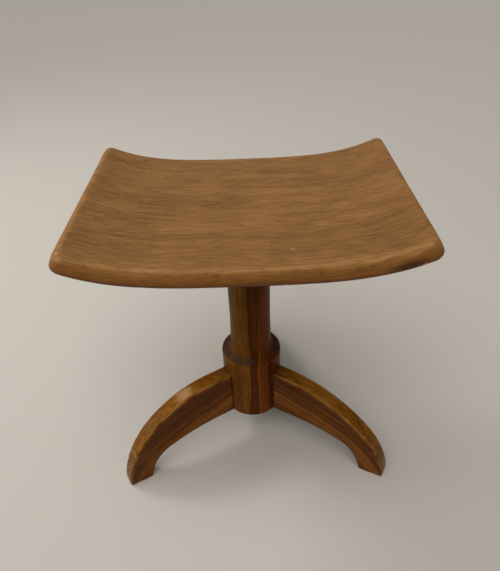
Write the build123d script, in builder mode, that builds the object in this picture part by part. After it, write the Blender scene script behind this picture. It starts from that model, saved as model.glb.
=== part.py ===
from build123d import *
import math
import os

# A pedestal milking stool: a dished board seat on a turned column that stands on three legs.
# Millimetres. Origin on the floor under the column's axis, +Z up, front of the stool at -Y.
# The seat's long side runs along X. One leg points straight back, two to the front corners.

# seat board, dished along its length and straight across
SEAT_TOP_LENGTH = 415.0  # straight across, between the two top edges
SEAT_DEPTH = 299.0
SEAT_THICKNESS = 27.2
SEAT_HEIGHT = 456.0  # top of the board at its middle
END_RISE = 29.6  # how far the top climbs to each end
FLAT_SHARE = 0.887  # share of the rise that goes by the fourth power, so the middle stays flat
SEAT_CORNER = 12.0
TOP_ROUNDING = 9.5
BOTTOM_ROUNDING = 8.5
PROFILE_STATIONS = 12

# cleat across the seat's underside
CLEAT_LENGTH = 212.0  # along Y, across the seat's grain
CLEAT_WIDTH = 104.0
CLEAT_THICKNESS = 22.0
CLEAT_END_BEVEL = 12.0
CLEAT_EASE = 1.5
CLEAT_PLAY = 0.05  # between the cleat and the board above it

# turned column
HUB_RADIUS = 48.5
HUB_BOTTOM = 65.5
HUB_EASE = 1.0
RIM_HEIGHT = 186.5
RIM_EASE = 1.4
NECK_RADIUS = 33.0
WAIST_RADIUS = 31.9
WAIST_HEIGHT = 262.0
SHOULDER_RADIUS = 33.0
TENON_RADIUS = 19.0
TENON_PLAY = 0.1
TENON_SHORTFALL = 0.4  # the tenon ends this far under the seat

# wedge that spreads the tenon
WEDGE_THICKNESS = 3.6
WEDGE_TIP = 1.0
WEDGE_DEPTH = 16.0
WEDGE_PLAY = 0.05

# legs, sawn from board by eye: each has its direction, its height at the hub, the radius
# at which its top starts to fall, and the two sweeps of that fall, to the knee and to the toe
LEG_FORMS = {
    "leg_back": (90.0, 155.0, 80.0, 171.0, 171.0),
    "leg_front_left": (210.0, 155.0, 80.0, 171.0, 171.0),
    "leg_front_right": (330.0, 154.0, 48.0, 231.0, 124.0),
}
KNEE_TURN = 48.0  # degrees that the top has fallen at the knee
LEG_THICKNESS = 26.0
LEG_UNDERSIDE = 66.0
LEVEL_BELLY_END = 83.0
BELLY_SWEEP = 300.0
BELLY_TURN = 16.5  # degrees
HEEL_SWEEP = 55.0
HEEL_SLOPE = 72.0  # degrees
TOP_EDGE_ROUNDING = 3.5
LOWER_EDGE_ROUNDING = 2.0
EDGE_PARTING = 75.0  # side edges above this height are the top's, those below are the underside's
SOLE_EASE = 0.8

# sliding dovetail between leg and hub, entered from below
DOVETAIL_DEPTH = 17.0
DOVETAIL_NECK = 12.0
DOVETAIL_SPREAD = 17.0
DOVETAIL_TOP = 141.0
DOVETAIL_PLAY = 0.08
DOVETAIL_ROOT = 5.0  # how far the neck runs on past the hub's face

# countersunk screws that hold the cleat to the seat
SCREW_X = 36.0
SCREW_Y = 76.0
HEAD_RADIUS = 4.6
HEAD_RECESS = 0.4  # the heads sit this far inside the cleat's underside
HEAD_RIM = 0.3
SHANK_RADIUS = 2.4
SCREW_LENGTH = 38.0
POINT_LENGTH = 5.0
SCREW_PLAY = 0.06
SLOT_WIDTH = 1.1
SLOT_DEPTH = 1.3

OVERCUT = 1.0  # how far a cutting shape stands out of the face it enters

HALF_TOP = SEAT_TOP_LENGTH / 2
CLEAT_TOP = SEAT_HEIGHT - SEAT_THICKNESS
CLEAT_BOTTOM = CLEAT_TOP - CLEAT_THICKNESS
TENON_TOP = CLEAT_TOP - TENON_SHORTFALL

os.makedirs("parts", exist_ok=True)


def save(piece, name):
    """Label a finished piece and write its file."""
    piece.label = name
    export_step(piece, f"parts/{name}.step")


def seat_point(x, depth):
    """Point in the seat's profile, square below the dished top surface at x."""
    q = x / HALF_TOP
    height = SEAT_HEIGHT + END_RISE * ((1 - FLAT_SHARE) * q**2 + FLAT_SHARE * q**4)
    slope = END_RISE / HALF_TOP * (2 * (1 - FLAT_SHARE) * q + 4 * FLAT_SHARE * q**3)
    length = math.hypot(1, slope)
    return (x + depth * slope / length, height - depth / length)


def profile_curve(depth, half_length, stations=PROFILE_STATIONS):
    """Curve along the board at one depth below its top surface."""
    steps = [half_length * (2 * i / stations - 1) for i in range(stations + 1)]
    return Spline(*[seat_point(x, depth) for x in steps])


# ---- screws: countersunk and slotted, points upwards, with the holes they go into

HEAD_FACE = CLEAT_BOTTOM + HEAD_RECESS
HEAD_HEIGHT = HEAD_RADIUS - SHANK_RADIUS
SCREW_TIP = HEAD_FACE + SCREW_LENGTH
SCREW_PLACES = [(x, y) for x in (-SCREW_X, SCREW_X) for y in (-SCREW_Y, SCREW_Y)]


def screw_outline(entry, play):
    """Half profile of a screw from the height entry to its tip, grown by play."""
    return [
        (0, entry),
        (HEAD_RADIUS + play, entry),
        (HEAD_RADIUS + play, HEAD_FACE + HEAD_RIM),
        (SHANK_RADIUS + play, HEAD_FACE + HEAD_RIM + HEAD_HEIGHT),
        (SHANK_RADIUS + play, SCREW_TIP - POINT_LENGTH),
        (0, SCREW_TIP + play),
    ]


with BuildPart() as screw:
    with BuildSketch(Plane.XZ):
        with BuildLine():
            Polyline(*screw_outline(HEAD_FACE, 0), close=True)
        make_face()
    revolve(axis=Axis.Z)
    with BuildSketch(Plane.XY.offset(HEAD_FACE)):
        Rectangle(4 * HEAD_RADIUS, SLOT_WIDTH)
    extrude(amount=SLOT_DEPTH, mode=Mode.SUBTRACT)

with BuildPart() as screw_hole:
    with BuildSketch(Plane.XZ):
        with BuildLine():
            Polyline(*screw_outline(CLEAT_BOTTOM - OVERCUT, SCREW_PLAY), close=True)
        make_face()
    revolve(axis=Axis.Z)

with BuildPart() as cleat_screws:
    with Locations(*SCREW_PLACES):
        add(screw.part)
save(cleat_screws.part, "cleat_screws")

# ---- seat: the dished profile carried along Y, ends square to the curve, edges rounded over

with BuildPart() as seat:
    with BuildSketch(Plane.XZ.offset(-SEAT_DEPTH / 2)):
        with BuildLine():
            top = profile_curve(0, HALF_TOP)
            bottom = profile_curve(SEAT_THICKNESS, HALF_TOP)
            Line(top @ 0, bottom @ 0)
            Line(top @ 1, bottom @ 1)
        make_face()
    extrude(amount=SEAT_DEPTH)
    fillet(seat.edges().sort_by(SortBy.LENGTH)[:4], SEAT_CORNER)
    broad_faces = seat.faces().sort_by(SortBy.AREA)[-2:]
    fillet(broad_faces.sort_by(Axis.Z)[-1].edges(), TOP_ROUNDING)
    broad_faces = seat.faces().sort_by(SortBy.AREA)[-2:]
    fillet(broad_faces.sort_by(Axis.Z)[0].edges(), BOTTOM_ROUNDING)
    with Locations(*SCREW_PLACES):
        add(screw_hole.part, mode=Mode.SUBTRACT)
save(seat.part, "seat")

# ---- cleat: a batten across the seat's grain, its top shaped to the board, bevelled ends

with BuildPart() as seat_cleat:
    with BuildSketch(Plane.XZ.offset(-CLEAT_LENGTH / 2)):
        with BuildLine():
            cleat_top = profile_curve(SEAT_THICKNESS + CLEAT_PLAY, CLEAT_WIDTH / 2, stations=4)
            corner_left = (-CLEAT_WIDTH / 2, CLEAT_BOTTOM)
            corner_right = (CLEAT_WIDTH / 2, CLEAT_BOTTOM)
            Polyline(cleat_top @ 0, corner_left, corner_right, cleat_top @ 1)
        make_face()
    extrude(amount=CLEAT_LENGTH)
    underside = seat_cleat.faces().sort_by(Axis.Z)[0]
    chamfer(underside.edges().filter_by(Axis.X), CLEAT_END_BEVEL)
    underside = seat_cleat.faces().sort_by(Axis.Z)[0]
    fillet(underside.edges().filter_by(Axis.Y), CLEAT_EASE)
    with BuildSketch(Plane.XY.offset(CLEAT_BOTTOM)):
        Circle(TENON_RADIUS + TENON_PLAY)
    extrude(amount=2 * CLEAT_THICKNESS, mode=Mode.SUBTRACT)
    with Locations(*SCREW_PLACES):
        add(screw_hole.part, mode=Mode.SUBTRACT)
save(seat_cleat.part, "seat_cleat")

# ---- wedge: driven down into the tenon's end, across the cleat's grain


def wedge_outline(play):
    """Section of the wedge, its thick end at the tenon's top, grown by play."""
    thick = WEDGE_THICKNESS / 2 + play
    tip = WEDGE_TIP / 2 + play
    foot = TENON_TOP - WEDGE_DEPTH - play
    return [(-thick, TENON_TOP), (-tip, foot), (tip, foot), (thick, TENON_TOP)]


with BuildPart() as tenon_wedge:
    with BuildSketch(Plane.YZ.offset(-TENON_RADIUS)):
        with BuildLine():
            Polyline(*wedge_outline(0), close=True)
        make_face()
    extrude(amount=2 * TENON_RADIUS)
    with BuildSketch(Plane.XY.offset(CLEAT_BOTTOM)):
        Circle(TENON_RADIUS)
    extrude(amount=2 * CLEAT_THICKNESS, mode=Mode.INTERSECT)
save(tenon_wedge.part, "tenon_wedge")

# ---- column: hub, cove, shaft and tenon turned in one piece, with a socket for each leg


def dovetail_outline(play):
    """Plan of a dovetail that points along +X, its neck carried out past the hub's face."""
    inner = HUB_RADIUS - DOVETAIL_DEPTH - play
    reach = HUB_RADIUS + DOVETAIL_ROOT
    neck = DOVETAIL_NECK / 2 + play
    spread = DOVETAIL_SPREAD / 2 + play
    return [
        (inner, -spread),
        (HUB_RADIUS, -neck),
        (reach, -neck),
        (reach, neck),
        (HUB_RADIUS, neck),
        (inner, spread),
    ]


def hub_corners():
    """The turned outline's two corners at the hub's radius, lowest first."""
    corners = turning.vertices().filter_by(lambda v: abs(v.X - HUB_RADIUS) < 0.01)
    return corners.sort_by(Axis.Y)


with BuildPart() as column:
    with BuildSketch(Plane.XZ) as turning:
        with BuildLine():
            Polyline((0, TENON_TOP), (0, HUB_BOTTOM), (HUB_RADIUS, HUB_BOTTOM), (HUB_RADIUS, RIM_HEIGHT))
            cove = JernArc((HUB_RADIUS, RIM_HEIGHT), (-1, 0), HUB_RADIUS - NECK_RADIUS, -90)
            shaft = Spline(
                cove @ 1,
                (WAIST_RADIUS, WAIST_HEIGHT),
                (SHOULDER_RADIUS, CLEAT_BOTTOM),
                tangents=[(0, 1), (0, 1)],
            )
            Polyline(shaft @ 1, (TENON_RADIUS, CLEAT_BOTTOM), (TENON_RADIUS, TENON_TOP), (0, TENON_TOP))
        make_face()
        fillet(hub_corners()[-1], RIM_EASE)
        chamfer(hub_corners()[0], HUB_EASE)
    revolve(axis=Axis.Z)
    with BuildSketch(Plane.XY.offset(HUB_BOTTOM)):
        with PolarLocations(0, 3, start_angle=LEG_FORMS["leg_back"][0]):
            Polygon(*dovetail_outline(DOVETAIL_PLAY), align=None)
    extrude(amount=DOVETAIL_TOP - HUB_BOTTOM + DOVETAIL_PLAY, mode=Mode.SUBTRACT)
    with BuildSketch(Plane.YZ.offset(-TENON_RADIUS)):
        with BuildLine():
            Polyline(*wedge_outline(WEDGE_PLAY), close=True)
        make_face()
    extrude(amount=2 * TENON_RADIUS, mode=Mode.SUBTRACT)
save(column.part, "column")

# ---- legs: each sawn along +X, then turned to its place


def sawn_leg(top_height, level_end, knee_sweep, toe_sweep):
    """A leg along +X with its dovetail key, from its height and the form of its top."""
    knee_fall = knee_sweep * (1 - math.cos(math.radians(KNEE_TURN)))
    toe_centre = top_height - knee_fall - toe_sweep * math.cos(math.radians(KNEE_TURN))
    toe_turn = math.degrees(math.acos(-toe_centre / toe_sweep))
    with BuildPart() as leg:
        with BuildSketch(Plane.XZ.offset(-LEG_THICKNESS / 2)):
            with BuildLine():
                # the top: level, then two sweeps down to the toe
                level_top = Line((0, top_height), (level_end, top_height))
                knee = JernArc(level_top @ 1, (1, 0), knee_sweep, -KNEE_TURN)
                toe = JernArc(knee @ 1, knee % 1, toe_sweep, KNEE_TURN - toe_turn)
                # the underside: level, a long sweep, a tight one, then straight down to the heel
                level_belly = Line((0, LEG_UNDERSIDE), (LEVEL_BELLY_END, LEG_UNDERSIDE))
                belly = JernArc(level_belly @ 1, (1, 0), BELLY_SWEEP, -BELLY_TURN)
                instep = JernArc(belly @ 1, belly % 1, HEEL_SWEEP, BELLY_TURN - HEEL_SLOPE)
                heel_run = (instep @ 1).Y / math.tan(math.radians(HEEL_SLOPE))
                heel = Line(instep @ 1, ((instep @ 1).X + heel_run, 0))
                Line(heel @ 1, toe @ 1)
                Line(level_top @ 0, level_belly @ 0)
            make_face()
        extrude(amount=LEG_THICKNESS)
        side_edges = leg.edges().filter_by(lambda e: abs(e.center().Y) > LEG_THICKNESS / 2 - 0.01)
        side_edges = side_edges.filter_by(lambda e: e.center().X > 1 and e.center().Z > SOLE_EASE)
        top_edges = side_edges.filter_by(lambda e: e.center().Z > EDGE_PARTING)
        lower_edges = side_edges.filter_by(lambda e: e.center().Z <= EDGE_PARTING)
        fillet(top_edges, TOP_EDGE_ROUNDING)
        fillet(lower_edges, LOWER_EDGE_ROUNDING)
        chamfer(leg.faces().sort_by(Axis.Z)[0].edges(), SOLE_EASE)
        with BuildSketch(Plane.XY):
            Circle(HUB_RADIUS + DOVETAIL_PLAY)
        extrude(amount=2 * top_height, mode=Mode.SUBTRACT)
        with BuildSketch(Plane.XY.offset(LEG_UNDERSIDE)):
            Polygon(*dovetail_outline(0), align=None)
        extrude(amount=DOVETAIL_TOP - LEG_UNDERSIDE)
    return leg.part


for leg_name, (direction, *form) in LEG_FORMS.items():
    with BuildPart() as placed_leg:
        add(sawn_leg(*form), rotation=(0, 0, direction))
    save(placed_leg.part, leg_name)
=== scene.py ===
import math

import bmesh
import bpy
import numpy as np
from mathutils import Matrix, Vector, noise


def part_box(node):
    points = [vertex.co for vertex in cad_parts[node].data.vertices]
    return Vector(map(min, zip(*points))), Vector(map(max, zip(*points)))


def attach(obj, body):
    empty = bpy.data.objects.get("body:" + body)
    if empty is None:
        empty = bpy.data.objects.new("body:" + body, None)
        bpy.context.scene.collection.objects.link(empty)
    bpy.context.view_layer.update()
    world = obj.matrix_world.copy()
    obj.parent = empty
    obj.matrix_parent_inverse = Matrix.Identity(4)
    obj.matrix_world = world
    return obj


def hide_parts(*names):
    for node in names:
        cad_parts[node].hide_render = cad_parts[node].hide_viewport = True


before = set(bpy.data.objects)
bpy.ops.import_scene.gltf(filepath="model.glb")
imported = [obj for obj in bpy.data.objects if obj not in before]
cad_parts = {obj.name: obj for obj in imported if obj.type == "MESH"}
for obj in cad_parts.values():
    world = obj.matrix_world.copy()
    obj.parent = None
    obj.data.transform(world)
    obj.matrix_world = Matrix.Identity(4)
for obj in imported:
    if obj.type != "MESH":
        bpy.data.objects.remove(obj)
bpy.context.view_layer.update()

# A pedestal milking stool in varnished hardwood: a dished seat on a turned column with three legs.
# Metres. The board seat, the column and the legs are meshed here at their CAD sizes, with the
# small wear of a used piece. The cleat, its screws and the tenon's wedge are the CAD nodes.

MM = 0.001

# ---- sizes, taken from the frame's boxes where they give them

seat_low, seat_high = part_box("seat")
column_low, column_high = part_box("column")
cleat_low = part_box("seat_cleat")[0]
leg_low, leg_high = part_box("leg_back")

SEAT_THICKNESS = 27.2 * MM
SEAT_DEPTH = seat_high.y - seat_low.y
SEAT_MIDDLE = seat_low.z + SEAT_THICKNESS
HALF_TOP = 207.5 * MM
END_RISE = 29.6 * MM
FLAT_SHARE = 0.887
SEAT_CORNER = 12 * MM
TOP_ROUNDING = 9.5 * MM
BOTTOM_ROUNDING = 8.5 * MM

HUB_RADIUS = column_high.x
HUB_BOTTOM = column_low.z
HUB_EASE = 1 * MM
RIM_HEIGHT = 186.5 * MM
RIM_EASE = 1.4 * MM
NECK_RADIUS = 33 * MM
SHOULDER_EASE = 0.5 * MM
WAIST_RADIUS = 31.9 * MM
WAIST_HEIGHT = 262 * MM
SHOULDER_HEIGHT = cleat_low.z
TENON_RADIUS = 19 * MM
TENON_TOP = column_high.z
COVE_RADIUS = HUB_RADIUS - NECK_RADIUS

# each leg's direction in degrees, the radius where its top starts to fall, and the two sweeps
# of the fall
LEG_FORMS = {
    "leg_back": (90, 80 * MM, 171 * MM, 171 * MM),
    "leg_front_left": (210, 80 * MM, 171 * MM, 171 * MM),
    "leg_front_right": (330, 48 * MM, 231 * MM, 124 * MM),
}
KNEE_TURN = math.radians(48)
LEG_THICKNESS = leg_high.x - leg_low.x
LEG_UNDERSIDE = 66 * MM
LEVEL_BELLY_END = 83 * MM
BELLY_SWEEP = 300 * MM
BELLY_TURN = math.radians(16.5)
HEEL_SWEEP = 55 * MM
HEEL_SLOPE = math.radians(72)
TOP_EDGE_ROUNDING = 3.5 * MM
LOWER_EDGE_ROUNDING = 2 * MM
SOLE_EASE = 0.8 * MM
TOE_ROUNDING = 5 * MM
LEG_PLAY = 0.08 * MM

DOVETAIL_DEPTH = 17 * MM
DOVETAIL_NECK = 12 * MM
DOVETAIL_SPREAD = 17 * MM
DOVETAIL_TOP = 141 * MM
DOVETAIL_ROOT = 5 * MM

CREASE_ANGLE = math.radians(32)  # edges sharper than this stay crisp

# ---- mesh helpers


def loft(rings):
    """Vertices and faces of closed rings of equal length, joined in order and capped."""
    count = len(rings[0])
    verts = [point for ring in rings for point in ring]
    faces = []
    for row in range(len(rings) - 1):
        for i in range(count):
            j = (i + 1) % count
            a, b = row * count, (row + 1) * count
            faces.append((a + i, a + j, b + j, b + i))
    faces.append(tuple(reversed(range(count))))
    last = (len(rings) - 1) * count
    faces.append(tuple(last + i for i in range(count)))
    return verts, faces


def join(*parts):
    """One vertex and face list out of several."""
    verts, faces = [], []
    for part_verts, part_faces in parts:
        start = len(verts)
        verts += list(part_verts)
        faces += [tuple(i + start for i in face) for face in part_faces]
    return verts, faces


def make_object(name, verts, faces):
    """A linked object whose faces all point outwards."""
    mesh = bpy.data.meshes.new(name)
    mesh.from_pydata([tuple(v) for v in verts], [], faces)
    shaped = bmesh.new()
    shaped.from_mesh(mesh)
    bmesh.ops.recalc_face_normals(shaped, faces=shaped.faces)
    shaped.to_mesh(mesh)
    shaped.free()
    piece = bpy.data.objects.new(name, mesh)
    bpy.context.scene.collection.objects.link(piece)
    return piece


def shade(piece):
    """Smooth shading, with the sharp edges kept crisp."""
    piece.data.shade_smooth()
    piece.data.set_sharp_from_angle(angle=CREASE_ANGLE)


def set_vectors(piece, name, values):
    """A vector at each vertex, for the material to read."""
    attribute = piece.data.attributes.new(name, "FLOAT_VECTOR", "POINT")
    attribute.data.foreach_set("vector", np.asarray(values, np.float32).ravel())


def set_values(piece, name, values):
    """A number at each vertex, for the material to read."""
    attribute = piece.data.attributes.new(name, "FLOAT", "POINT")
    attribute.data.foreach_set("value", np.asarray(values, np.float32))


def rounded_rectangle(half_x, half_y, radius):
    """Points round a rectangle with rounded corners, always in the same number and order."""
    corners = [(1, 1), (-1, 1), (-1, -1), (1, -1)]
    centres = [(x * (half_x - radius), y * (half_y - radius)) for x, y in corners]
    points = []
    for quarter, centre in enumerate(centres):
        for i in range(CORNER_STEPS + 1):
            turn = math.pi / 2 * (quarter + i / CORNER_STEPS)
            across = centre[0] + radius * math.cos(turn)
            points.append((across, centre[1] + radius * math.sin(turn)))
        following = centres[(quarter + 1) % 4]
        start = points[-1]
        end = (following[0] + start[0] - centre[0], following[1] + start[1] - centre[1])
        run = LONG_STEPS if quarter % 2 == 0 else SHORT_STEPS
        for i in range(1, run):
            share = i / run
            across = start[0] + (end[0] - start[0]) * share
            points.append((across, start[1] + (end[1] - start[1]) * share))
    return points


def ramp(value, low, high):
    """0 below low, 1 above high, smooth between."""
    t = min(max((value - low) / (high - low), 0), 1)
    return t * t * (3 - 2 * t)


def waver(point, size, seed):
    """Smooth noise from -1 to 1 whose lumps are about size across."""
    return noise.noise(Vector(point) / size + Vector((seed, 2.7 * seed, 5.1 * seed)))


# ---- seat

# the length along the dished top, as a table, because the board is meshed by it
dish_x = np.linspace(0, HALF_TOP + 5 * MM, 400)
dish_slope = END_RISE / HALF_TOP * (
    2 * (1 - FLAT_SHARE) * (dish_x / HALF_TOP) + 4 * FLAT_SHARE * (dish_x / HALF_TOP) ** 3
)
dish_stretch = np.hypot(1, dish_slope)
dish_steps = np.diff(dish_x) * (dish_stretch[1:] + dish_stretch[:-1]) / 2
dish_length = np.concatenate([[0], np.cumsum(dish_steps)])
HALF_ALONG = float(np.interp(HALF_TOP, dish_x, dish_length))

LONG_STEPS, SHORT_STEPS, CORNER_STEPS = 150, 110, 8
FACE_RINGS = 28
TOP_STEPS, BOTTOM_STEPS = 12, 10
INNER_CORNER = 30 * MM  # how much rounder the rings become towards the middle
LEAST_CORNER = 2.5 * MM

CHIP_PLACE = (HALF_ALONG - 3 * MM, -SEAT_DEPTH / 2 + 3 * MM, 17 * MM)
CHIP_DEPTH = 1.1 * MM
CHIP_CORE, CHIP_REACH = 2 * MM, 8 * MM
WORN_BAND = (-16 * MM, -1 * MM)  # from the board's outline
EDGE_WEAR, EDGE_WEAR_LUMPS = 0.35 * MM, 34 * MM
NICK_DEPTH, NICK_LUMPS, NICK_SHARE = 0.5 * MM, 5 * MM, (0.42, 0.7)
SEAT_RIPPLE, SEAT_RIPPLE_LUMPS = 0.1 * MM, 60 * MM
RUBBED_BAND = (-9 * MM, -1.5 * MM)
RUBBED_DEPTHS = (7 * MM, 15 * MM)


def seat_point(along, y, depth):
    """Place of a point given by its distance along the dished top, its y and its depth."""
    x = math.copysign(float(np.interp(abs(along), dish_length, dish_x)), along)
    q = x / HALF_TOP
    height = SEAT_MIDDLE + END_RISE * ((1 - FLAT_SHARE) * q**2 + FLAT_SHARE * q**4)
    slope = END_RISE / HALF_TOP * (2 * (1 - FLAT_SHARE) * q + 4 * FLAT_SHARE * q**3)
    length = math.hypot(1, slope)
    return Vector((x + depth * slope / length, y, height - depth / length))


def seat_rings():
    """(inset, share of full size, depth) of each ring, from the top's middle to the bottom's."""
    rings = []
    for i in range(1, FACE_RINGS + 1):
        rings.append((TOP_ROUNDING, i / FACE_RINGS, 0.0))
    for i in range(1, TOP_STEPS + 1):
        turn = math.pi / 2 * i / TOP_STEPS
        inset = TOP_ROUNDING * (1 - math.sin(turn))
        rings.append((inset, 1.0, TOP_ROUNDING * (1 - math.cos(turn))))
    straight = SEAT_THICKNESS - TOP_ROUNDING - BOTTOM_ROUNDING
    for share in (0.3, 0.6):
        rings.append((0.0, 1.0, TOP_ROUNDING + straight * share))
    for i in range(BOTTOM_STEPS + 1):
        turn = math.pi / 2 * i / BOTTOM_STEPS
        inset = BOTTOM_ROUNDING * (1 - math.cos(turn))
        depth = SEAT_THICKNESS - BOTTOM_ROUNDING * (1 - math.sin(turn))
        rings.append((inset, 1.0, depth))
    for i in range(FACE_RINGS - 1, 0, -1):
        rings.append((BOTTOM_ROUNDING, i / FACE_RINGS, SEAT_THICKNESS))
    return rings


def beyond_outline(along, y):
    """How far a place on the board lies outside its outline; less than 0 is inside."""
    return max(abs(along) - HALF_ALONG, abs(y) - SEAT_DEPTH / 2)


def seat_wear(along, y, depth):
    """How far the used surface lies inside the clean one."""
    place = (along, y, depth)
    chip = CHIP_DEPTH * (1 - ramp(math.dist(place, CHIP_PLACE), CHIP_CORE, CHIP_REACH))
    near_edge = ramp(beyond_outline(along, y), *WORN_BAND)
    worn = EDGE_WEAR * near_edge * max(waver(place, EDGE_WEAR_LUMPS, 3), 0)
    nick = NICK_DEPTH * near_edge * ramp(waver(place, NICK_LUMPS, 8), *NICK_SHARE)
    ripple = SEAT_RIPPLE * (1 + waver(place, SEAT_RIPPLE_LUMPS, 1))
    return chip + worn + nick + ripple


def build_seat():
    """The dished board: rounded plan corners, rounded edges, worn a little."""
    rings, board = [], []
    for inset, share, depth in seat_rings():
        half_x = (HALF_ALONG - inset) * share
        half_y = (SEAT_DEPTH / 2 - inset) * share
        radius = max(SEAT_CORNER - inset, LEAST_CORNER)
        if share < 1:
            radius = min(radius + INNER_CORNER * (1 - share), 0.9 * half_y)
        outline = rounded_rectangle(half_x, half_y, radius)
        board.append([(along, y, depth) for along, y in outline])
    for ring in board:
        rings.append([seat_point(*place) for place in ring])
    verts, faces = loft(rings)
    piece = make_object("seat_board", verts, faces)
    places = [place for ring in board for place in ring]
    normals = [v.normal.copy() for v in piece.data.vertices]
    for vertex, normal, place in zip(piece.data.vertices, normals, places):
        vertex.co -= normal * seat_wear(*place)
    edge = []
    for along, y, depth in places:
        by_edge = ramp(beyond_outline(along, y), *RUBBED_BAND)
        edge.append(by_edge * (1 - ramp(depth, *RUBBED_DEPTHS)))
    set_vectors(piece, "grain", places)
    set_values(piece, "edge", edge)
    shade(piece)
    return piece


# ---- column

COLUMN_STEPS = 192
SHAFT_STEPS, COVE_STEPS, RIM_STEPS, HUB_STEPS = 60, 15, 4, 30
COLUMN_RUB, COLUMN_RUB_LUMPS = 0.12 * MM, 38 * MM
RIM_WEAR, RIM_WEAR_LUMPS, RIM_WEAR_REACH = 0.5 * MM, 11 * MM, 3 * MM
RIM_RUBBED = (0.6 * MM, 4 * MM)
GREY_START, GREY_END = (-0.02, 0.05), (0.25, 0.8)  # shares of the cove's height
LESS_GREY_START, LESS_GREY_END = (-92, -80), (-38, -20)  # degrees round the column
LESS_GREY_SHARE = 0.85


def dovetail_outline():
    """Plan of a dovetail that points along +X, its neck carried out past the hub's face."""
    inner = HUB_RADIUS - DOVETAIL_DEPTH
    reach = HUB_RADIUS + DOVETAIL_ROOT
    neck, spread = DOVETAIL_NECK / 2, DOVETAIL_SPREAD / 2
    near = [(inner, -spread), (HUB_RADIUS, -neck), (reach, -neck)]
    return near + [(x, -y) for x, y in reversed(near)]


def dovetail_prism(bottom, top, play=0.0):
    """The dovetail between two heights, grown by play."""
    middle = HUB_RADIUS - DOVETAIL_DEPTH / 2
    outline = []
    for x, y in dovetail_outline():
        outline.append((x + math.copysign(play, x - middle), y + math.copysign(play, y)))
    return loft([[Vector((x, y, z)) for x, y in outline] for z in (bottom, top)])


def column_profile():
    """(radius, height) down the turned column, from the tenon's rim to the hub's bottom."""
    profile = [(TENON_RADIUS, TENON_TOP), (TENON_RADIUS, SHOULDER_HEIGHT)]
    profile.append((NECK_RADIUS - SHOULDER_EASE, SHOULDER_HEIGHT))
    foot = RIM_HEIGHT + COVE_RADIUS
    for i in range(SHAFT_STEPS + 1):
        run = foot - SHOULDER_HEIGHT + SHOULDER_EASE
        height = SHOULDER_HEIGHT - SHOULDER_EASE + run * i / SHAFT_STEPS
        span = (SHOULDER_HEIGHT if height > WAIST_HEIGHT else foot) - WAIST_HEIGHT
        swell = (NECK_RADIUS - WAIST_RADIUS) * ramp(abs(height - WAIST_HEIGHT), 0, abs(span))
        profile.append((WAIST_RADIUS + swell, height))
    for i in range(1, COVE_STEPS):
        turn = math.pi / 2 * i / COVE_STEPS
        across = HUB_RADIUS - COVE_RADIUS * math.cos(turn)
        profile.append((across, foot - COVE_RADIUS * math.sin(turn)))
    for i in range(RIM_STEPS + 1):
        turn = math.pi / 2 * i / RIM_STEPS
        across = HUB_RADIUS - RIM_EASE * (1 - math.sin(turn))
        profile.append((across, RIM_HEIGHT - RIM_EASE * (1 - math.cos(turn))))
    wall_top, wall_foot = RIM_HEIGHT - RIM_EASE, HUB_BOTTOM + HUB_EASE
    for i in range(1, HUB_STEPS + 1):
        profile.append((HUB_RADIUS, wall_top + (wall_foot - wall_top) * i / HUB_STEPS))
    profile.append((HUB_RADIUS - HUB_EASE, HUB_BOTTOM))
    return profile


def build_column():
    """The turned column, with the legs' three dovetail sockets cut into its hub."""
    rings = []
    for radius, height in column_profile():
        ring = []
        for i in range(COLUMN_STEPS):
            turn = 2 * math.pi * i / COLUMN_STEPS
            point = Vector((radius * math.cos(turn), radius * math.sin(turn), height))
            if HUB_BOTTOM + 2 * MM < height < SHOULDER_HEIGHT - 1 * MM:
                rub = COLUMN_RUB * (1 + waver(point, COLUMN_RUB_LUMPS, 5))
                rim_worn = RIM_WEAR * max(waver(point, RIM_WEAR_LUMPS, 9), 0)
                rub += rim_worn * (1 - ramp(abs(height - RIM_HEIGHT), 0, RIM_WEAR_REACH))
                point -= Vector((point.x, point.y, 0)).normalized() * rub
            ring.append(point)
        rings.append(ring)
    piece = make_object("turned_column", *loft(rings))
    sockets = []
    for direction, *_ in LEG_FORMS.values():
        cutter_bottom = HUB_BOTTOM - 5 * MM
        verts, faces = dovetail_prism(cutter_bottom, DOVETAIL_TOP + LEG_PLAY, LEG_PLAY)
        turned = Matrix.Rotation(math.radians(direction), 4, "Z")
        sockets.append(([turned @ v for v in verts], faces))
    cutter = make_object("sockets", *join(*sockets))
    cut = piece.modifiers.new("sockets", "BOOLEAN")
    cut.object = cutter
    cut.operation = "DIFFERENCE"
    cut.solver = "EXACT"
    apply_modifiers(piece)
    bpy.data.objects.remove(cutter)
    grain, edge, shade_and_cove_grey = [], [], []
    for vertex in piece.data.vertices:
        x, y, z = vertex.co
        radius = math.hypot(x, y)
        grain.append((z, x, y))
        edge.append(1 - ramp(math.hypot(radius - HUB_RADIUS, z - RIM_HEIGHT), *RIM_RUBBED))
        shade_and_cove_grey.append(cove_grey(x, y, z))
    set_vectors(piece, "grain", grain)
    set_values(piece, "edge", edge)
    set_values(piece, "shade_and_cove_grey", shade_and_cove_grey)
    shade(piece)
    return piece


def cove_grey(x, y, z):
    """Greyer in the cove, less so at the front right."""
    level = (z - RIM_HEIGHT) / COVE_RADIUS
    in_cove = ramp(level, *GREY_START) * (1 - ramp(level, *GREY_END))
    bearing = math.degrees(math.atan2(y, x))
    at_front_right = ramp(bearing, *LESS_GREY_START) * (1 - ramp(bearing, *LESS_GREY_END))
    return in_cove * (1 - LESS_GREY_SHARE * at_front_right)


def apply_modifiers(piece):
    """Replace a piece's mesh with its modified mesh."""
    graph = bpy.context.evaluated_depsgraph_get()
    mesh = bpy.data.meshes.new_from_object(piece.evaluated_get(graph))
    piece.modifiers.clear()
    piece.data = mesh


# ---- legs: each is built along +X and turned to its place

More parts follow.
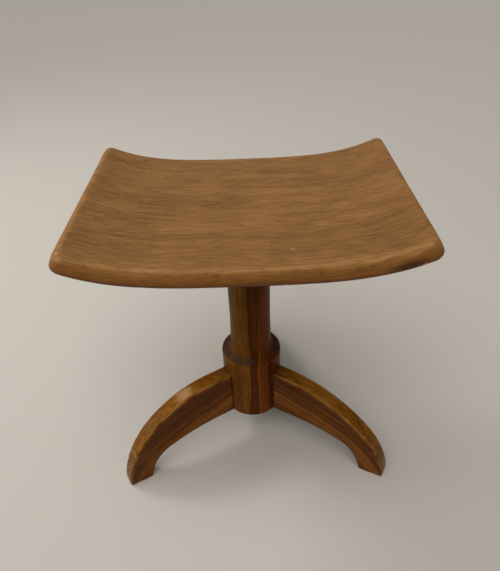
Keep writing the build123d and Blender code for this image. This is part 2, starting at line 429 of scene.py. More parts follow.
LEG_STATIONS = 130
SOLE_STATIONS = 12  # the last stations, which are kept off the floor
HUB_STATIONS = 6  # the first stations, which follow the hub's face
LEVEL_STEPS, KNEE_STEPS, TOE_STEPS = 8, 40, 30
BELLY_STEPS, INSTEP_STEPS, HEEL_STEPS = 30, 20, 8
TOP_FACE_STEPS, TOP_EDGE_STEPS, SIDE_STEPS = 6, 6, 12
LOWER_EDGE_STEPS, BELLY_FACE_STEPS = 4, 5
ARRIS_STEP = 10  # place round the leg's section of the middle of its upper rounding

TOE_START = 215 * MM
TOE_ROUND_RUN = (222 * MM, 244 * MM)
TOE_WEAR_RUN, TOE_WEAR_RISE = (200 * MM, 245 * MM), (1 * MM, 8 * MM)
LEG_RIPPLE, LEG_RIPPLE_LUMPS = 0.12 * MM, 45 * MM
ARRIS_WEAR, ARRIS_WEAR_LUMPS = 0.22 * MM, 14 * MM
TOE_CORNER_WEAR = 0.9 * MM
KNOCK_DEPTH, KNOCK_LUMPS, KNOCK_SHARE = 0.8 * MM, 7 * MM, (0.15, 0.6)
KNOCK_RUN, KNOCK_RISE = (200 * MM, 240 * MM), (4 * MM, 12 * MM)
SCAR_PLACE, SCAR_WIDTH = 229 * MM, (0.6 * MM, 2.4 * MM)
# painted shade at the joint with the hub, on the top face near the hub and by the floor; darker
# towards the toe
HUB_JOINT_SHADE, HUB_TOP_SHADE = (0.5 * MM, 4 * MM), (2 * MM, 34 * MM)  # from the hub's face
FLOOR_SHADE = (1 * MM, 9 * MM)
TOE_DARKENING = (205 * MM, 240 * MM)

GRAIN_SLOPE = math.radians(31)
GRAIN_BEND = 0.55
GRAIN_FOOT = 90 * MM  # places the bent grain level with the straight
LEG_RUN = 240 * MM


def arc_points(centre, radius, start, end, count):
    """(point, outward normal) along an arc, in the leg's own plane."""
    points = []
    for i in range(count + 1):
        turn = start + (end - start) * i / count
        normal = (math.cos(turn), math.sin(turn))
        points.append(((centre[0] + radius * normal[0], centre[1] + radius * normal[1]), normal))
    return points


def level_points(end, height):
    """(point, outward normal) along a level line from the hub up to its end, which is left out."""
    shares = [i / LEVEL_STEPS for i in range(LEVEL_STEPS)]
    return [((HUB_RADIUS * (1 - share) + end * share, height), (0.0, 1.0)) for share in shares]


def leg_top_line(height, level_end, knee_sweep, toe_sweep):
    """The leg's top from hub to toe: level where it has room to be, then two sweeps down."""
    level = level_points(level_end, height) if level_end > HUB_RADIUS else []
    hub_angle = min(math.acos((HUB_RADIUS - level_end) / knee_sweep), math.pi / 2)
    knee_angle = math.pi / 2 - KNEE_TURN
    centre = (level_end, height - knee_sweep)
    knee = arc_points(centre, knee_sweep, hub_angle, knee_angle, KNEE_STEPS)
    (x, z), normal = knee[-1]
    centre = (x - toe_sweep * normal[0], z - toe_sweep * normal[1])
    toe_angle = math.asin((SOLE_EASE - centre[1]) / toe_sweep)
    toe = arc_points(centre, toe_sweep, knee_angle, toe_angle, TOE_STEPS)
    return level + knee + toe[1:]


def leg_belly_line():
    """The leg's underside from hub to heel: level, a long sweep, a tight one, then straight."""
    level = level_points(LEVEL_BELLY_END, LEG_UNDERSIDE)
    centre = (LEVEL_BELLY_END, LEG_UNDERSIDE - BELLY_SWEEP)
    belly_angle, heel_angle = math.pi / 2 - BELLY_TURN, math.pi / 2 - HEEL_SLOPE
    belly = arc_points(centre, BELLY_SWEEP, math.pi / 2, belly_angle, BELLY_STEPS)
    (x, z), normal = belly[-1]
    centre = (x - HEEL_SWEEP * normal[0], z - HEEL_SWEEP * normal[1])
    instep = arc_points(centre, HEEL_SWEEP, belly_angle, heel_angle, INSTEP_STEPS)
    (x, z), normal = instep[-1]
    drop = z - SOLE_EASE
    reach = drop / math.tan(HEEL_SLOPE)
    heel = []
    for i in range(1, HEEL_STEPS + 1):
        heel.append(((x + reach * i / HEEL_STEPS, z - drop * i / HEEL_STEPS), normal))
    return level + belly + instep[1:] + heel


def along_line(line, count):
    """Points spaced evenly along a line of (point, normal) pairs, ends included."""
    places = np.array([point for point, _ in line])
    normals = np.array([normal for _, normal in line])
    reach = np.concatenate([[0], np.cumsum(np.hypot(*np.diff(places, axis=0).T))])
    wanted = np.linspace(0, reach[-1], count)
    xs, zs = (np.interp(wanted, reach, places[:, k]) for k in (0, 1))
    nx, nz = (np.interp(wanted, reach, normals[:, k]) for k in (0, 1))
    return [((x, z), Vector((a, b)).normalized()) for x, z, a, b in zip(xs, zs, nx, nz)]


def leg_section(top, belly):
    """Ring round the leg through one place on its top and one on its underside."""
    half = LEG_THICKNESS / 2
    (top_x, top_z), top_normal = top
    (belly_x, belly_z), belly_normal = belly
    upper = []
    for i in range(TOP_FACE_STEPS + 1):
        upper.append(((half - TOP_EDGE_ROUNDING) * i / TOP_FACE_STEPS, 0.0, "top"))
    for i in range(1, TOP_EDGE_STEPS + 1):
        turn = math.pi / 2 * i / TOP_EDGE_STEPS
        y = half - TOP_EDGE_ROUNDING * (1 - math.sin(turn))
        upper.append((y, TOP_EDGE_ROUNDING * (1 - math.cos(turn)), "top"))
    side = [(half, i / SIDE_STEPS, "side") for i in range(1, SIDE_STEPS)]
    lower = []
    for i in range(LOWER_EDGE_STEPS + 1):
        turn = math.pi / 2 * i / LOWER_EDGE_STEPS
        y = half - LOWER_EDGE_ROUNDING * (1 - math.cos(turn))
        lower.append((y, LOWER_EDGE_ROUNDING * (1 - math.sin(turn)), "belly"))
    for i in range(BELLY_FACE_STEPS - 1, -1, -1):
        lower.append(((half - LOWER_EDGE_ROUNDING) * i / BELLY_FACE_STEPS, 0.0, "belly"))
    half_ring = []
    top_edge = Vector((top_x, top_z)) - top_normal * TOP_EDGE_ROUNDING
    belly_edge = Vector((belly_x, belly_z)) + belly_normal * LOWER_EDGE_ROUNDING
    for y, depth, place in upper + side + lower:
        if place == "top":
            x, z = top_x - top_normal.x * depth, top_z - top_normal.y * depth
        elif place == "belly":
            x, z = belly_x + belly_normal.x * depth, belly_z + belly_normal.y * depth
        else:
            x, z = top_edge.lerp(belly_edge, depth)
        half_ring.append(Vector((x, y, z)))
    other_side = [Vector((p.x, -p.y, p.z)) for p in half_ring[-2:0:-1]]
    return half_ring + other_side


def round_toe(point):
    """Wear the toe round where it meets the floor."""
    if point.z < TOE_ROUNDING and point.x > TOE_START:
        pull = TOE_ROUNDING - math.sqrt(TOE_ROUNDING**2 - (TOE_ROUNDING - point.z) ** 2)
        pull *= ramp(point.x, *TOE_ROUND_RUN)
        corner = ramp(abs(point.y) / (LEG_THICKNESS / 2), 0.7, 1)
        point.x -= pull
        point.y -= math.copysign(0.8 * pull * corner, point.y)


def leg_wear(point, seed):
    """How far the used surface lies inside the clean one."""
    ripple = LEG_RIPPLE * (1 + waver(point, LEG_RIPPLE_LUMPS, seed))
    outer = abs(point.y) / (LEG_THICKNESS / 2)
    arris = ARRIS_WEAR * ramp(outer, 0.6, 0.95) * max(waver(point, ARRIS_WEAR_LUMPS, seed + 4), 0)
    toe = ramp(point.x, *TOE_WEAR_RUN) * ramp(point.z, *TOE_WEAR_RISE)
    corner = TOE_CORNER_WEAR * toe * ramp(outer, 0.7, 1)
    return ripple + arris + corner + KNOCK_DEPTH * toe_knocks(point, seed)


def toe_knocks(point, seed):
    """Where the toe has been knocked, from 0 to 1."""
    toe = ramp(point.x, *KNOCK_RUN) * ramp(point.z, *KNOCK_RISE)
    return toe * ramp(waver(point, KNOCK_LUMPS, seed + 7), *KNOCK_SHARE)


def leg_grain(point, top, belly, row):
    """(along, across, through) the grain, which runs straight down the leg but follows its bend."""
    along = point.x * math.cos(GRAIN_SLOPE) - point.z * math.sin(GRAIN_SLOPE)
    across = point.x * math.sin(GRAIN_SLOPE) + point.z * math.cos(GRAIN_SLOPE)
    row = min(row, len(top) - 1)
    foot, head = Vector(belly[row][0]), Vector(top[row][0])
    up = (Vector((point.x, point.z)) - foot).dot((head - foot).normalized())
    bent_along, bent_across = LEG_RUN * row / len(top), up + GRAIN_FOOT
    return (
        along * (1 - GRAIN_BEND) + bent_along * GRAIN_BEND,
        across * (1 - GRAIN_BEND) + bent_across * GRAIN_BEND,
        point.y,
    )


def leg_rings(top, belly):
    """The leg's sections from hub to sole, its toe rounded and its end fitted to the hub."""
    rings = [leg_section(a, b) for a, b in zip(top, belly)]
    for ring in rings[-SOLE_STATIONS:]:
        for point in ring:
            point.z = max(point.z, SOLE_EASE)
    for point in rings[-1]:
        point.z = SOLE_EASE
    for ring in rings:
        for point in ring:
            round_toe(point)
    centre = sum(rings[-1], Vector()) / len(rings[-1])
    sole = []
    for point in rings[-1]:
        outward = point - centre
        ease_x, ease_y = (math.copysign(SOLE_EASE, side) for side in outward.xy)
        sole.append(point - Vector((ease_x, ease_y, SOLE_EASE)))
    rings.append(sole)
    hub_face = HUB_RADIUS + LEG_PLAY
    for row, ring in enumerate(rings[:HUB_STATIONS]):
        for point in ring:
            curve_in = hub_face - math.sqrt(hub_face**2 - point.y**2)
            point.x -= (curve_in - LEG_PLAY) * (1 - row / HUB_STATIONS)
    return rings


def leg_shade_and_grime(place, on_top, seed):
    """Painted shade at the joint with the hub, on the top near the hub and by the floor, darker
    towards the toe, and grime where the toe is knocked, from 0 to 1.
    """
    x, y, z = place
    from_hub = math.hypot(x, y) - HUB_RADIUS
    by_hub = 1 - ramp(from_hub, *HUB_JOINT_SHADE)
    top_by_hub = 0.55 * on_top * (1 - ramp(from_hub, *HUB_TOP_SHADE))
    by_floor = 0.6 * (1 - ramp(z, *FLOOR_SHADE))
    on_toe = 0.28 * ramp(x, *TOE_DARKENING)
    return max(by_hub, top_by_hub, by_floor, on_toe, 0.8 * on_top * toe_knocks(place, seed))


def build_leg(name, node, seed):
    """A sawn leg with its dovetail key, built along +X and turned to its place."""
    direction, *form = LEG_FORMS[node]
    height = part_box(node)[1].z
    top = along_line(leg_top_line(height, *form), LEG_STATIONS)
    belly = along_line(leg_belly_line(), LEG_STATIONS)
    rings = leg_rings(top, belly)
    body = make_object(name, *loft(rings))
    normals = [v.normal.copy() for v in body.data.vertices]
    for vertex, normal in zip(body.data.vertices, normals):
        if vertex.co.z > 2 * SOLE_EASE and vertex.co.x > HUB_RADIUS + 4 * MM:
            vertex.co -= normal * leg_wear(vertex.co, seed)
    verts = [v.co.copy() for v in body.data.vertices]
    faces = [tuple(face.vertices) for face in body.data.polygons]
    bpy.data.objects.remove(body)
    piece = make_object(name, *join((verts, faces), dovetail_prism(LEG_UNDERSIDE, DOVETAIL_TOP)))
    grain, edge, upper, shade_and_grime = [], [], [], []
    around = len(rings[0])
    for index, vertex in enumerate(piece.data.vertices):
        row, step = divmod(index, around)
        from_top = min(step, around - step) if row < len(rings) else ARRIS_STEP * 2
        on_top = 1 - ramp(from_top, ARRIS_STEP - 1.5, ARRIS_STEP + 1.5)
        on_arris = 1 - ramp(abs(from_top - ARRIS_STEP), 0.5, 3)
        scar = 0
        if node == "leg_front_left":
            scar = on_top * (1 - ramp(abs(vertex.co.x - SCAR_PLACE), *SCAR_WIDTH))
        grain.append(leg_grain(vertex.co, top, belly, row))
        edge.append(max(on_arris, scar))
        upper.append(on_top)
        shade_and_grime.append(leg_shade_and_grime(vertex.co, on_top, seed))
    set_vectors(piece, "grain", grain)
    set_values(piece, "edge", edge)
    set_values(piece, "upper", upper)
    # painted shade by the hub and the floor, with grime where the toe is knocked
    set_values(piece, "shade_and_cove_grey", shade_and_grime)
    piece.data.transform(Matrix.Rotation(math.radians(direction), 4, "Z"))
    shade(piece)
    return piece


# ---- materials


def add(tree, kind, settings=(), **inputs):
    """A shader node with its properties set.

    The inputs are sockets by name, or by number as i0 and i1. Each takes a value or a socket.
    """
    node = tree.nodes.new(kind)
    for key, value in dict(settings).items():
        setattr(node, key, value)
    for key, value in inputs.items():
        numbered = key[0] == "i" and key[1:].isdigit()
        socket = node.inputs[int(key[1:]) if numbered else key]
        if isinstance(value, bpy.types.NodeSocket):
            tree.links.new(value, socket)
        else:
            socket.default_value = value
    return node


def calculate(tree, operation, a, b=0.0, clamp=False):
    """A Math node's result."""
    settings = {"operation": operation, "use_clamp": clamp}
    return add(tree, "ShaderNodeMath", settings, i0=a, i1=b).outputs[0]


def stretch(tree, vector, scale, offset=(0, 0, 0)):
    """Coordinates scaled per axis, so that a pattern runs long in one direction."""
    return add(tree, "ShaderNodeMapping", Vector=vector, Location=offset, Scale=scale).outputs[0]


def noise_value(tree, vector, detail):
    """A Noise texture read at scaled coordinates."""
    return add(tree, "ShaderNodeTexNoise", Vector=vector, Scale=1.0, Detail=detail).outputs["Fac"]


def between(tree, value, low, high):
    """0 below low, 1 above high, smooth between."""
    settings = {"interpolation_type": "SMOOTHSTEP", "clamp": True}
    node = add(tree, "ShaderNodeMapRange", settings, Value=value)
    node.inputs["From Min"].default_value = low
    node.inputs["From Max"].default_value = high
    return node.outputs["Result"]


def colour_ramp(tree, value, stops):
    """A colour ramp from (place, colour) stops."""
    node = add(tree, "ShaderNodeValToRGB", Fac=value)
    elements = node.color_ramp.elements
    while len(elements) < len(stops):
        elements.new(0.5)
    for element, (place, colour) in zip(elements, stops):
        element.position = place
        element.color = (*colour, 1)
    return node.outputs["Color"]


def blend_colour(tree, share, a, b, mode="MIX"):
    """Colour a turned into b by a share, or multiplied by it."""
    node = add(tree, "ShaderNodeMix", {"data_type": "RGBA", "blend_type": mode})
    for socket, value in ((node.inputs[0], share), (node.inputs[6], a), (node.inputs[7], b)):
        if isinstance(value, bpy.types.NodeSocket):
            tree.links.new(value, socket)
        else:
            socket.default_value = value if isinstance(value, float) else (*value, 1)
    return node.outputs[2]


def new_material(name):
    """A node material, its node tree and its surface shader."""
    material = bpy.data.materials.new(name)
    material.use_nodes = True
    tree = material.node_tree
    return material, tree, tree.nodes["Principled BSDF"]


def spot(tree, vector, place, size):
    """A soft-edged mark at a place in the wood's own coordinates, size across on each axis."""
    scale = tuple(2 / s for s in size)
    offset = tuple(-p * s for p, s in zip(place, scale))
    shifted = stretch(tree, vector, scale, offset)
    measure = add(tree, "ShaderNodeVectorMath", {"operation": "LENGTH"}, i0=shifted)
    return calculate(tree, "SUBTRACT", 1.0, between(tree, measure.outputs["Value"], 0.2, 1.0))


def coat(tree, colour, over, share, strength):
    """A colour covered by another, by a share times its strength."""
    return blend_colour(tree, calculate(tree, "MULTIPLY", share, strength), colour, over)


def vertex_data(tree, name, output="Fac"):
    """What the mesh stores at each vertex under a name."""
    return add(tree, "ShaderNodeAttribute", {"attribute_name": name}).outputs[output]


def wood_tone(tree, weighted, palette):
    """The palette's dark, middle and light wood, by a weighted sum of patterns."""
    (first, share), *others = weighted
    tone = calculate(tree, "MULTIPLY", first, share)
    for pattern, share in others:
        tone = calculate(tree, "ADD", tone, calculate(tree, "MULTIPLY", pattern, share))
    stops = [(0.0, palette["dark"]), (0.5, palette["middle"]), (1.0, palette["light"])]
    return colour_ramp(tree, between(tree, tone, *TONE_RANGE), stops)


# how fine the wood's patterns are, per metre along, across and through the grain
DRIFT_SCALE = (5, 16, 16)
HAIR_SCALE = (36, 480, 480)
VESSEL_SCALE = (85, 640, 640)
CLOUD_SCALE = (14, 22, 22)
PATCH_SCALE = (60, 60, 60)
FLUFF_SCALE = (240, 240, 240)

DRIFT_REACH = 26 * MM
VESSEL_RANGE = (0.6, 0.74)
TONE_RANGE = (0.32, 0.68)
VARNISH_TINT = (1.0, 0.75, 0.42, 1)


def wood_material(name, palette, bands, seed, gloss, marks_and_highlights=(), layers=None):
    """Varnished hardwood. The coordinates run along the grain, across it and through it."""
    material, tree, surface = new_material(name)
    grain = vertex_data(tree, "grain", "Vector")
    edge = vertex_data(tree, "edge")
    # the cove's grey on the column; painted shade and grime on the legs
    shade_and_cove_grey = vertex_data(tree, "shade_and_cove_grey")
    offset = (seed * 3.1, seed * 1.7, seed * 0.9)

    # growth bands wander slowly, streaks and vessels run with them
    drift = noise_value(tree, stretch(tree, grain, DRIFT_SCALE, offset), detail=1)
    drift = calculate(tree, "MULTIPLY", calculate(tree, "SUBTRACT", drift, 0.5), DRIFT_REACH)
    lean = add(tree, "ShaderNodeCombineXYZ", Y=drift, Z=drift).outputs[0]
    warped = add(tree, "ShaderNodeVectorMath", {"operation": "ADD"}, i0=grain, i1=lean).outputs[0]
    broad_scale = (2.2, bands, bands * 0.6)
    broad = noise_value(tree, stretch(tree, warped, broad_scale, offset), detail=2.5)
    fine = noise_value(tree, stretch(tree, warped, (7, bands * 6, bands * 5), offset), detail=3)
    hair = noise_value(tree, stretch(tree, grain, HAIR_SCALE, offset), detail=3)
    vessels = noise_value(tree, stretch(tree, grain, VESSEL_SCALE, offset), detail=1)
    vessels = between(tree, vessels, *VESSEL_RANGE)
    cloud = noise_value(tree, stretch(tree, grain, CLOUD_SCALE, offset), detail=2)

    colour = wood_tone(tree, list(zip((broad, fine, hair), palette["shares"])), palette)
    if layers:
        colour = blend_colour(tree, 1.0, colour, layers(tree, grain, warped), "MULTIPLY")
    colour = coat(tree, colour, palette["pore"], vessels, 0.55)
    cloud_stops = [(0.0, (0.9, 0.88, 0.86)), (1.0, (1.08, 1.08, 1.08))]
    cloud_colour = colour_ramp(tree, between(tree, cloud, 0.25, 0.75), cloud_stops)
    colour = blend_colour(tree, 1.0, colour, cloud_colour, "MULTIPLY")

    # wear: rubbed and knocked along the arrises; then the cove's grey, and the legs' painted shade
    # and grime
    patch = noise_value(tree, stretch(tree, grain, PATCH_SCALE, offset), detail=3)
    rubbed = calculate(tree, "MULTIPLY", edge, between(tree, patch, *palette["patches"]))
    knocked = calculate(tree, "MULTIPLY", edge, between(tree, patch, 0.44, 0.3))
    colour = coat(tree, colour, palette["rubbed"], rubbed, palette["rub_share"])
    colour = coat(tree, colour, palette["pore"], knocked, palette["knock_share"])
    fluff = noise_value(tree, stretch(tree, grain, FLUFF_SCALE, offset), detail=4)
    shade_and_grey_share = calculate(tree, "MULTIPLY", shade_and_cove_grey, between(tree, fluff, 0.25, 0.55))
    colour = coat(tree, colour, palette["shade_and_cove_grey"], shade_and_grey_share, 0.8)
    # marks and painted highlights laid over the wood
    for place, size, spot_colour, strength in marks_and_highlights:
        colour = coat(tree, colour, spot_colour, spot(tree, grain, place, size), strength)
    tree.links.new(colour, surface.inputs["Base Color"])

    rough = calculate(tree, "ADD", gloss, calculate(tree, "MULTIPLY", cloud, 0.16))
    rough = calculate(tree, "ADD", rough, calculate(tree, "MULTIPLY", vessels, 0.18))
    rough = calculate(tree, "ADD", rough, calculate(tree, "MULTIPLY", shade_and_grey_share, 0.4), clamp=True)
    tree.links.new(rough, surface.inputs["Roughness"])
    relief = calculate(tree, "SUBTRACT", calculate(tree, "MULTIPLY", fine, 0.35), vessels)
    relief = calculate(tree, "ADD", relief, calculate(tree, "MULTIPLY", hair, 0.4))
    relief = calculate(tree, "SUBTRACT", relief, calculate(tree, "MULTIPLY", knocked, 1.5))
    bump = add(tree, "ShaderNodeBump", Height=relief, Strength=0.35, Distance=0.12 * MM)
    tree.links.new(bump.outputs["Normal"], surface.inputs["Normal"])
    surface.inputs["Specular IOR Level"].default_value = palette["specular"]
    surface.inputs["Specular Tint"].default_value = VARNISH_TINT
    return material


# each wood's colours, the shares of its broad, fine and hair patterns, how worn it looks, and the
# colour for the cove's grey and the legs' painted shade
SEAT_PALETTE = {
    "dark": (0.135, 0.063, 0.02),
    "middle": (0.2, 0.097, 0.032),
    "light": (0.262, 0.135, 0.048),
    "pore": (0.06, 0.022, 0.005),
    "shares": (0.28, 0.2, 0.52),
    "specular": 0.25,
    "rubbed": (0.36, 0.165, 0.04),
    "patches": (0.2, 0.6),
    "rub_share": 0.3,
    "knock_share": 0.2,
    "shade_and_cove_grey": (0.09, 0.07, 0.055),
}
COLUMN_PALETTE = {
    "dark": (0.072, 0.022, 0.002),
    "middle": (0.125, 0.044, 0.004),
    "light": (0.18, 0.072, 0.009),
    "pore": (0.035, 0.011, 0.001),
    "shares": (0.34, 0.33, 0.33),
    "specular": 0.07,
    "rubbed": (0.22, 0.09, 0.018),
    "patches": (0.42, 0.66),
    "rub_share": 0.5,
    "knock_share": 0.3,
    "shade_and_cove_grey": (0.042, 0.031, 0.023),
}
LEG_PALETTE = {
    "dark": (0.075, 0.021, 0.0015),
    "middle": (0.148, 0.047, 0.0035),
    "light": (0.225, 0.088, 0.01),
    "pore": (0.04, 0.012, 0.001),
    "shares": (0.34, 0.36, 0.3),
    "specular": 0.11,
    "rubbed": (0.42, 0.2, 0.06),
    "patches": (0.3, 0.65),
    "rub_share": 0.5,
    "knock_share": 0.15,
    # the colour of the legs' painted shade by the hub and the floor, and of their grime
    "shade_and_cove_grey": (0.018, 0.008, 0.003),
}
# each mark's and painted highlight's place and size along, across and through the board, its colour
# and its strength
SEAT_MARKS_AND_HIGHLIGHTS = [
    # a dark dot, a scuff and a scratch on the top
    ((-150 * MM, 129 * MM, 0), (5 * MM, 4 * MM, 8 * MM), (0.03, 0.015, 0.008), 0.8),
    ((53 * MM, -111 * MM, 0), (9 * MM, 8 * MM, 8 * MM), (0.42, 0.27, 0.16), 0.4),
    ((24 * MM, -104 * MM, 0), (3 * MM, 26 * MM, 8 * MM), (0.34, 0.2, 0.1), 0.2),
    # a dark patch, a grey chip and a painted highlight streak on the front edge's right end
    ((174 * MM, -150 * MM, 18 * MM), (52 * MM, 14 * MM, 16 * MM), (0.045, 0.014, 0.003), 0.85),
    ((190 * MM, -148 * MM, 22 * MM), (9 * MM, 8 * MM, 5 * MM), (0.36, 0.34, 0.33), 0.75),
    ((181 * MM, -147 * MM, 6 * MM), (26 * MM, 7 * MM, 6 * MM), (0.5, 0.3, 0.16), 0.3),
    # a painted highlight and a dark patch on its left end
    ((-204 * MM, -148 * MM, 5 * MM), (13 * MM, 9 * MM, 12 * MM), (0.5, 0.3, 0.16), 0.4),
    ((-212 * MM, -149 * MM, 11 * MM), (14 * MM, 12 * MM, 8 * MM), (0.07, 0.028, 0.01), 0.6),
]


def seat_varnish_and_painted_shade(tree, grain, _):
    """Varnish kept redder round the lower half of the board's edge, with painted shade making it
    darker towards the bottom.
    """
    depth = add(tree, "ShaderNodeSeparateXYZ", i0=grain).outputs[2]
    place = calculate(tree, "DIVIDE", depth, SEAT_THICKNESS)
    return colour_ramp(tree, place, [
        (0.0, (1.0, 1.0, 1.0)),
        (0.05, (1.0, 0.98, 0.94)),
        (0.35, (1.22, 1.04, 0.7)),
        (0.6, (1.15, 0.9, 0.52)),
        (0.8, (0.72, 0.5, 0.26)),
        (1.0, (0.5, 0.35, 0.2)),
    ])


def column_stripes_and_painted_light(tree, _, warped):
    """Tall stripes across the turned block, darkest just right of its middle, with painted light:
    its left half lighter and a painted highlight stripe on it.

    The hub and the shaft have their own stripes, and a pale vein runs in the hub only.
    """
    parts = add(tree, "ShaderNodeSeparateXYZ", i0=warped)
    across, through = parts.outputs[1], parts.outputs[2]
    place = calculate(tree, "ADD", across, calculate(tree, "MULTIPLY", through, -0.25))
    place = calculate(tree, "ADD", calculate(tree, "DIVIDE", place, 2 * HUB_RADIUS), 0.43)
    # left of 0.5 the stops are painted lighter, as if lit from the left, with a painted highlight
    # at 0.15
    hub = colour_ramp(tree, place, [
        (0.0, (0.75, 0.65, 0.55)),
        (0.15, (1.25, 1.15, 0.95)),
        (0.3, (0.95, 0.88, 0.8)),
        (0.42, (1.2, 1.08, 0.9)),
        (0.5, (1.05, 0.95, 0.8)),
        (0.512, (0.55, 0.38, 0.3)),
        (0.64, (0.6, 0.42, 0.35)),
        (0.66, (0.8, 0.58, 0.45)),
        (0.667, (1.9, 1.7, 1.1)),
        (0.68, (1.8, 1.5, 1.0)),
        (0.69, (1.05, 0.74, 0.5)),
        (0.8, (1.05, 0.7, 0.45)),
        (0.87, (0.55, 0.38, 0.3)),
        (0.93, (0.8, 0.56, 0.4)),
        (1.0, (0.6, 0.45, 0.4)),
    ])
    # the shaft's left half is painted lighter too, as if lit from the left
    shaft = colour_ramp(tree, place, [
        (0.1, (0.7, 0.65, 0.55)),
        (0.28, (1.15, 1.12, 1.0)),
        (0.36, (0.95, 0.92, 0.85)),
        (0.44, (1.15, 1.12, 1.0)),
        (0.495, (0.9, 0.85, 0.7)),
        (0.51, (0.4, 0.3, 0.25)),
        (0.54, (0.62, 0.42, 0.3)),
        (0.6, (0.78, 0.54, 0.38)),
        (0.72, (1.1, 0.76, 0.5)),
        (0.82, (0.95, 0.64, 0.42)),
        (0.92, (0.5, 0.36, 0.28)),
    ])
    height = parts.outputs[0]
    return blend_colour(tree, between(tree, height, 195 * MM, 212 * MM), hub, shaft)


def leg_stripes_and_painted_top_light(tree, _, warped):
    """Darker wood on the leg's sides towards the top, a paler stripe low down, and the top face
    painted paler, as if lit from above.
    """
    across = add(tree, "ShaderNodeSeparateXYZ", i0=warped).outputs[1]
    place = between(tree, across, 95 * MM, 175 * MM)
    layers = colour_ramp(tree, place, [
        (0.0, (0.9, 0.8, 0.6)),
        (0.2, (1.3, 1.2, 1.0)),
        (0.34, (1.3, 1.2, 1.0)),
        (0.42, (0.7, 0.58, 0.42)),
        (0.5, (0.75, 0.62, 0.45)),
        (0.58, (0.9, 0.8, 0.65)),
        (0.7, (0.62, 0.48, 0.35)),
        (0.8, (0.8, 0.68, 0.55)),
        (0.9, (0.55, 0.42, 0.3)),
        (1.0, (0.6, 0.48, 0.35)),
    ])
    # the top face painted paler, as if lit from above
    return blend_colour(tree, vertex_data(tree, "upper"), layers, (1.25, 1.4, 1.6))


def plain_wood_material(name, palette, axis_scale):
    """Raw hidden wood on a CAD node, its grain along the axis with the smallest scale."""
    material, tree, surface = new_material(name)
    place = add(tree, "ShaderNodeTexCoord").outputs["Object"]
    broad = noise_value(tree, stretch(tree, place, tuple(60 * s for s in axis_scale)), detail=3)
    fine = noise_value(tree, stretch(tree, place, tuple(700 * s for s in axis_scale)), detail=2)
    colour = wood_tone(tree, [(broad, 0.6), (fine, 0.4)], palette)
    tree.links.new(colour, surface.inputs["Base Color"])
    rough = calculate(tree, "ADD", calculate(tree, "MULTIPLY", fine, 0.25), 0.42)
    tree.links.new(rough, surface.inputs["Roughness"])
    bump = add(tree, "ShaderNodeBump", Height=fine, Strength=0.4, Distance=0.15 * MM)
    tree.links.new(bump.outputs["Normal"], surface.inputs["Normal"])
    return material


def steel_material(name):
    """Dulled steel with brown bloom in patches."""
    material, tree, surface = new_material(name)
    place = add(tree, "ShaderNodeTexCoord").outputs["Object"]
    bloom = noise_value(tree, stretch(tree, place, (420, 420, 420)), detail=5)
    rust = between(tree, bloom, 0.5, 0.66)
    colour = blend_colour(tree, rust, (0.36, 0.35, 0.33), (0.11, 0.055, 0.03))
    tree.links.new(colour, surface.inputs["Base Color"])
    rough = calculate(tree, "ADD", calculate(tree, "MULTIPLY", rust, 0.4), 0.35)
    tree.links.new(rough, surface.inputs["Roughness"])
    bump = add(tree, "ShaderNodeBump", Height=bloom, Strength=0.3, Distance=0.1 * MM)
    tree.links.new(bump.outputs["Normal"], surface.inputs["Normal"])
    surface.inputs["Metallic"].default_value = 0.9
    return material


def dress(piece, material):
    """Give a piece one material."""
    piece.data.materials.clear()
    piece.data.materials.append(material)


# ---- the stool

seat = build_seat()
seat_wood = wood_material(
    "seat_wood", SEAT_PALETTE, bands=55, seed=1, gloss=0.31, marks_and_highlights=SEAT_MARKS_AND_HIGHLIGHTS, layers=seat_varnish_and_painted_shade
)
dress(seat, seat_wood)
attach(seat, "root")
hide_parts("seat")

column = build_column()
column_wood = wood_material(
    "column_wood", COLUMN_PALETTE, bands=70, seed=2, gloss=0.3, layers=column_stripes_and_painted_light
)
dress(column, column_wood)
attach(column, "root")
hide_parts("column")

for seed, leg_name in enumerate(LEG_FORMS, start=3):
    leg = build_leg("sawn_" + leg_name, leg_name, seed)
    leg_wood = wood_material(
        leg.name + "_wood", LEG_PALETTE, bands=80, seed=seed, gloss=0.12, layers=leg_stripes_and_painted_top_light
    )
    dress(leg, leg_wood)
    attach(leg, "root")
    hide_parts(leg_name)

GRAIN_ALONG_Y, GRAIN_ALONG_Z = (1, 0.05, 1), (1, 1, 0.05)
cleat_wood = plain_wood_material("cleat_wood", COLUMN_PALETTE, GRAIN_ALONG_Y)
wedge_wood = plain_wood_material("wedge_wood", SEAT_PALETTE, GRAIN_ALONG_Z)
dress(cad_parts["seat_cleat"], cleat_wood)
dress(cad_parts["tenon_wedge"], wedge_wood)
dress(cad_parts["cleat_screws"], steel_material("screw_steel"))

# ---- floor, lights and camera

HALF_FLOOR = 7.0
FLOOR_COLOUR = (0.43, 0.405, 0.37, 1)
WARM_WHITE, DAYLIGHT = (1.0, 0.97, 0.93), (1.0, 0.98, 0.96)
FILL_STRENGTH = 0.16  # of the world on the stool
BACKDROP_STRENGTH = 0.54  # what the world adds to that where the camera sees it

floor_mesh = bpy.data.meshes.new("floor")
corners = [(x * HALF_FLOOR, y * HALF_FLOOR, 0) for x, y in ((-1, -1), (1, -1), (1, 1), (-1, 1))]
floor_mesh.from_pydata(corners, [], [(0, 1, 2, 3)])
floor = bpy.data.objects.new("floor", floor_mesh)
bpy.context.scene.collection.objects.link(floor)
floor_material, _, floor_surface = new_material("floor_paint")
floor_surface.inputs["Base Color"].default_value = FLOOR_COLOUR
floor_surface.inputs["Roughness"].default_value = 0.75
dress(floor, floor_material)


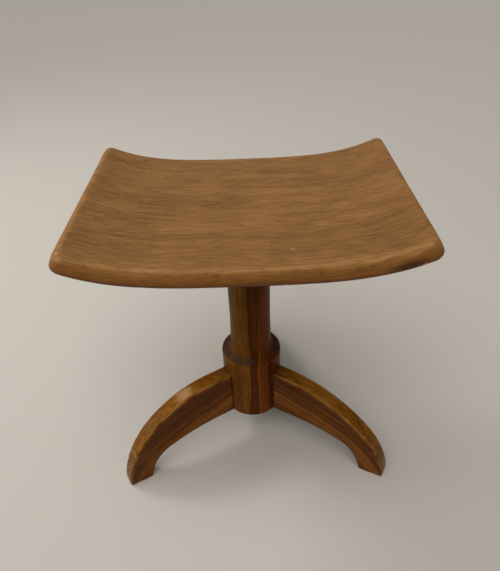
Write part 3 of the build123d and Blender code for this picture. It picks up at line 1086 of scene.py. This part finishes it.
def area_light(name, place, target, size, power, colour):
    """A soft rectangular lamp that points at a target and that the camera doesn't see."""
    lamp = bpy.data.lights.new(name, "AREA")
    lamp.shape = "RECTANGLE"
    lamp.size, lamp.size_y = size
    lamp.energy = power
    lamp.color = colour
    holder = bpy.data.objects.new(name, lamp)
    bpy.context.scene.collection.objects.link(holder)
    holder.location = place
    holder.visible_camera = False
    holder.rotation_euler = (Vector(target) - Vector(place)).to_track_quat("-Z", "Y").to_euler()


area_light(
    "window", (-2.4, 0.1, 1.0), target=(0, 0, 0.25), size=(1.0, 1.5), power=10, colour=DAYLIGHT
)
area_light(
    "ceiling_lamp", (-1.2, 0.75, 1.75), target=(0, 0, 0.15), size=(0.5, 0.5), power=15,
    colour=WARM_WHITE,
)

ceiling = bpy.data.lights.new("ceiling", "SUN")
ceiling.energy = 2.5
ceiling.angle = math.radians(60)
ceiling.color = WARM_WHITE
ceiling_holder = bpy.data.objects.new("ceiling", ceiling)
bpy.context.scene.collection.objects.link(ceiling_holder)
ceiling_holder.rotation_euler = Vector((0.15, 0.3, -0.94)).to_track_quat("-Z", "Y").to_euler()

scene = bpy.context.scene
world = bpy.data.worlds.new("studio")
scene.world = world
world.use_nodes = True
# the backdrop looks pale, and lights the stool less than it looks
studio = world.node_tree
light_path = add(studio, "ShaderNodeLightPath")
camera_ray = light_path.outputs["Is Camera Ray"]
strength = calculate(studio, "MULTIPLY_ADD", camera_ray, BACKDROP_STRENGTH)
strength.node.inputs[2].default_value = FILL_STRENGTH
background = studio.nodes["Background"]
background.inputs["Color"].default_value = (1.0, 0.98, 0.95, 1)
studio.links.new(strength, background.inputs["Strength"])
scene.view_settings.view_transform = "Standard"

# the camera that the photo's outlines give
CAMERA_PLACE = Vector((4.1, -579.1, 776.8)) * MM
CAMERA_PITCH = math.radians(38.31)
CAMERA_YAW = math.radians(0.085)
CAMERA_ROLL = math.radians(-2.04)
SENSOR_WIDTH = 36
LENS = 30.97
FRAME_SHIFT = (-0.0034, -0.003)
NEAREST = 0.01

camera_data = bpy.data.cameras.new("camera")
camera = bpy.data.objects.new("camera", camera_data)
scene.collection.objects.link(camera)
camera_data.sensor_width = SENSOR_WIDTH
camera_data.lens = LENS
camera_data.shift_x, camera_data.shift_y = FRAME_SHIFT
camera_data.clip_start = NEAREST
aim = Matrix.Rotation(-CAMERA_YAW, 4, "Z") @ Matrix.Rotation(math.pi / 2 - CAMERA_PITCH, 4, "X")
camera.matrix_world = Matrix.Translation(CAMERA_PLACE) @ aim @ Matrix.Rotation(CAMERA_ROLL, 4, "Z")
scene.camera = camera

bpy.context.view_layer.update()
